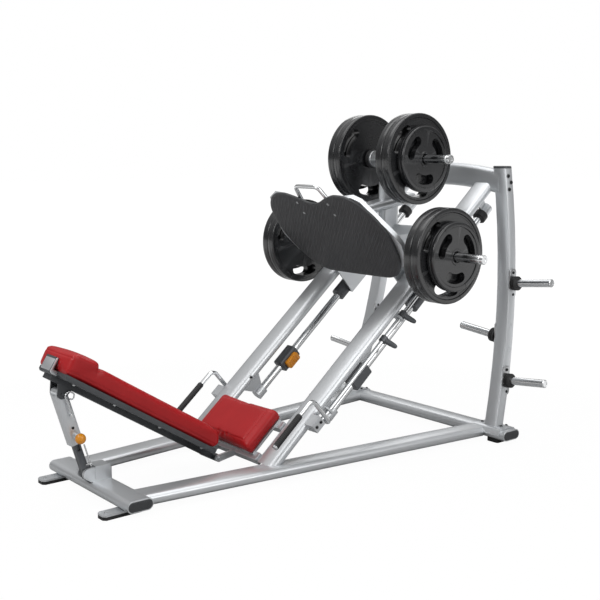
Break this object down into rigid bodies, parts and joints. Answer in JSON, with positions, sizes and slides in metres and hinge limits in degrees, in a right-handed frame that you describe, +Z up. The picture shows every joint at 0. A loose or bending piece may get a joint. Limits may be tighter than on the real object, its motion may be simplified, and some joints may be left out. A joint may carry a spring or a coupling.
{
  "type": "leg press machine",
  "caption": "Inclined plate-loaded leg press with a reclining back rest, a sliding foot carriage on guide rods, lock levers and weight plates on horns.",
  "frame": {"origin": "on the floor, under the middle of the bounding box", "axes": "+X from the head end of the back rest to the rear uprights, +Y to the left side, +Z up"},
  "size_m": [2.3838, 1.5706, 1.6234],
  "materials": {
    "frame_paint": "silver-grey metallic powder coat",
    "dark_paint": "dark grey satin paint",
    "cap_plastic": "matte",
    "rubber": "matte textured",
    "chrome": "polished",
    "plate_rubber": "iron discs coated in black rubber",
    "red_vinyl": "satin vinyl over foam",
    "orange_plastic": "gloss"
  },
  "bodies": {
    "frame": {"base_cap_front_left": "cap_plastic", "base_cap_front_right": "cap_plastic", "base_cap_rear_left": "cap_plastic", "base_cap_rear_right": "cap_plastic", "foot_pad_front_left": "rubber", "foot_pad_front_right": "rubber", "foot_pad_rear_left": "rubber", "foot_pad_rear_right": "rubber", "front_cross_tube": "frame_paint", "guide_rod_left": "chrome", "guide_rod_right": "chrome", "incline_column_left": "frame_paint", "incline_column_right": "frame_paint", "rear_cross_tube": "frame_paint", "rod_bumper_left": "rubber", "rod_bumper_right": "rubber", "seat_frame": "frame_paint", "seat_pad": "red_vinyl", "side_rail_left": "frame_paint", "side_rail_right": "frame_paint", "storage_horn_inner_left": "chrome", "storage_horn_inner_right": "chrome", "storage_horn_lower_left": "chrome", "storage_horn_lower_right": "chrome", "storage_horn_upper_left": "chrome", "storage_horn_upper_right": "chrome", "top_cross_tube": "frame_paint", "upright_cap_left": "cap_plastic", "upright_cap_right": "cap_plastic", "upright_left": "frame_paint", "upright_right": "frame_paint"},
    "carriage": {"carriage_frame": "frame_paint", "foot_plate": "rubber", "foot_handle": "chrome", "slide_bearing_left": "dark_paint", "slide_bearing_right": "dark_paint", "weight_horn_upper": "chrome", "weight_horn_left": "chrome", "weight_horn_right": "chrome"},
    "plates_upper_left": {"plate_upper_left_inner": "plate_rubber", "plate_upper_left_outer": "plate_rubber", "plate_upper_left_small": "plate_rubber"},
    "plates_upper_right": {"plate_upper_right_inner": "plate_rubber", "plate_upper_right_outer": "plate_rubber", "plate_upper_right_small": "plate_rubber"},
    "plates_lower_left": {"plate_lower_left_inner": "plate_rubber", "plate_lower_left_outer": "plate_rubber", "plate_lower_left_small": "plate_rubber"},
    "plates_lower_right": {"plate_lower_right_inner": "plate_rubber", "plate_lower_right_outer": "plate_rubber", "plate_lower_right_small": "plate_rubber"},
    "lock_left": {"lock_shaft_left": "chrome"},
    "stop_left": {"safety_stop_left": "dark_paint"},
    "lock_right": {"lock_shaft_right": "chrome"},
    "stop_right": {"safety_stop_right": "dark_paint"},
    "back_rest": {"back_frame": "dark_paint", "back_pad": "red_vinyl"},
    "strut_lower": {"strut_bar": "dark_paint"},
    "strut_upper": {"strut_tube": "frame_paint"},
    "pull_knob": {"strut_knob": "orange_plastic"}
  },
  "joints": [
    {"name": "carriage_slide", "type": "slide", "parent": "frame", "child": "carriage", "axis": [0.7604, 0, 0.6494], "range_m": [-0.33, 0.125]},
    {"name": "lock_turn_left", "type": "hinge", "parent": "frame", "child": "lock_left", "pos_m": [-0.00683, 0.335, 0.22724], "axis": [0.7604, 0, 0.6494], "range_deg": [-55, 0]},
    {"name": "lock_turn_right", "type": "hinge", "parent": "frame", "child": "lock_right", "pos_m": [-0.00683, -0.335, 0.22724], "axis": [0.7604, 0, 0.6494], "range_deg": [0, 55]},
    {"name": "stop_slide_left", "type": "slide", "parent": "frame", "child": "stop_left", "axis": [0.7604, 0, 0.6494], "range_m": [-0.055, 0.16]},
    {"name": "stop_slide_right", "type": "slide", "parent": "frame", "child": "stop_right", "axis": [0.7604, 0, 0.6494], "range_m": [-0.055, 0.16]},
    {"name": "back_recline", "type": "hinge", "parent": "frame", "child": "back_rest", "pos_m": [-0.39489, 0, 0.058], "axis": [0, 1, 0], "range_deg": [-6, 6]},
    {"name": "strut_turn", "type": "hinge", "parent": "frame", "child": "strut_lower", "pos_m": [-1.02489, 0, 0.104], "axis": [0, 1, 0], "range_deg": [-10, 10]},
    {"name": "strut_extend", "type": "slide", "parent": "strut_lower", "child": "strut_upper", "axis": [-0.2859, 0, 0.9583], "range_m": [-0.065, 0.065]},
    {"name": "knob_pull", "type": "slide", "parent": "strut_upper", "child": "pull_knob", "axis": [0, -1, 0], "range_m": [0, 0.012], "stiffness_N_per_m": 700},
    {"name": "plates_off_upper_left", "type": "slide", "parent": "carriage", "child": "plates_upper_left", "axis": [0, 1, 0], "range_m": [0, 0.155]},
    {"name": "plates_off_upper_right", "type": "slide", "parent": "carriage", "child": "plates_upper_right", "axis": [0, -1, 0], "range_m": [0, 0.155]},
    {"name": "plates_off_lower_left", "type": "slide", "parent": "carriage", "child": "plates_lower_left", "axis": [0, 1, 0], "range_m": [0, 0.16]},
    {"name": "plates_off_lower_right", "type": "slide", "parent": "carriage", "child": "plates_lower_right", "axis": [0, -1, 0], "range_m": [0, 0.16]}
  ],
  "couplings": [
    {"joint": "strut_turn", "follows": "back_recline", "ratio": 1.59},
    {"joint": "strut_extend", "follows": "back_recline", "m_per_rad": 0.5833}
  ]
}
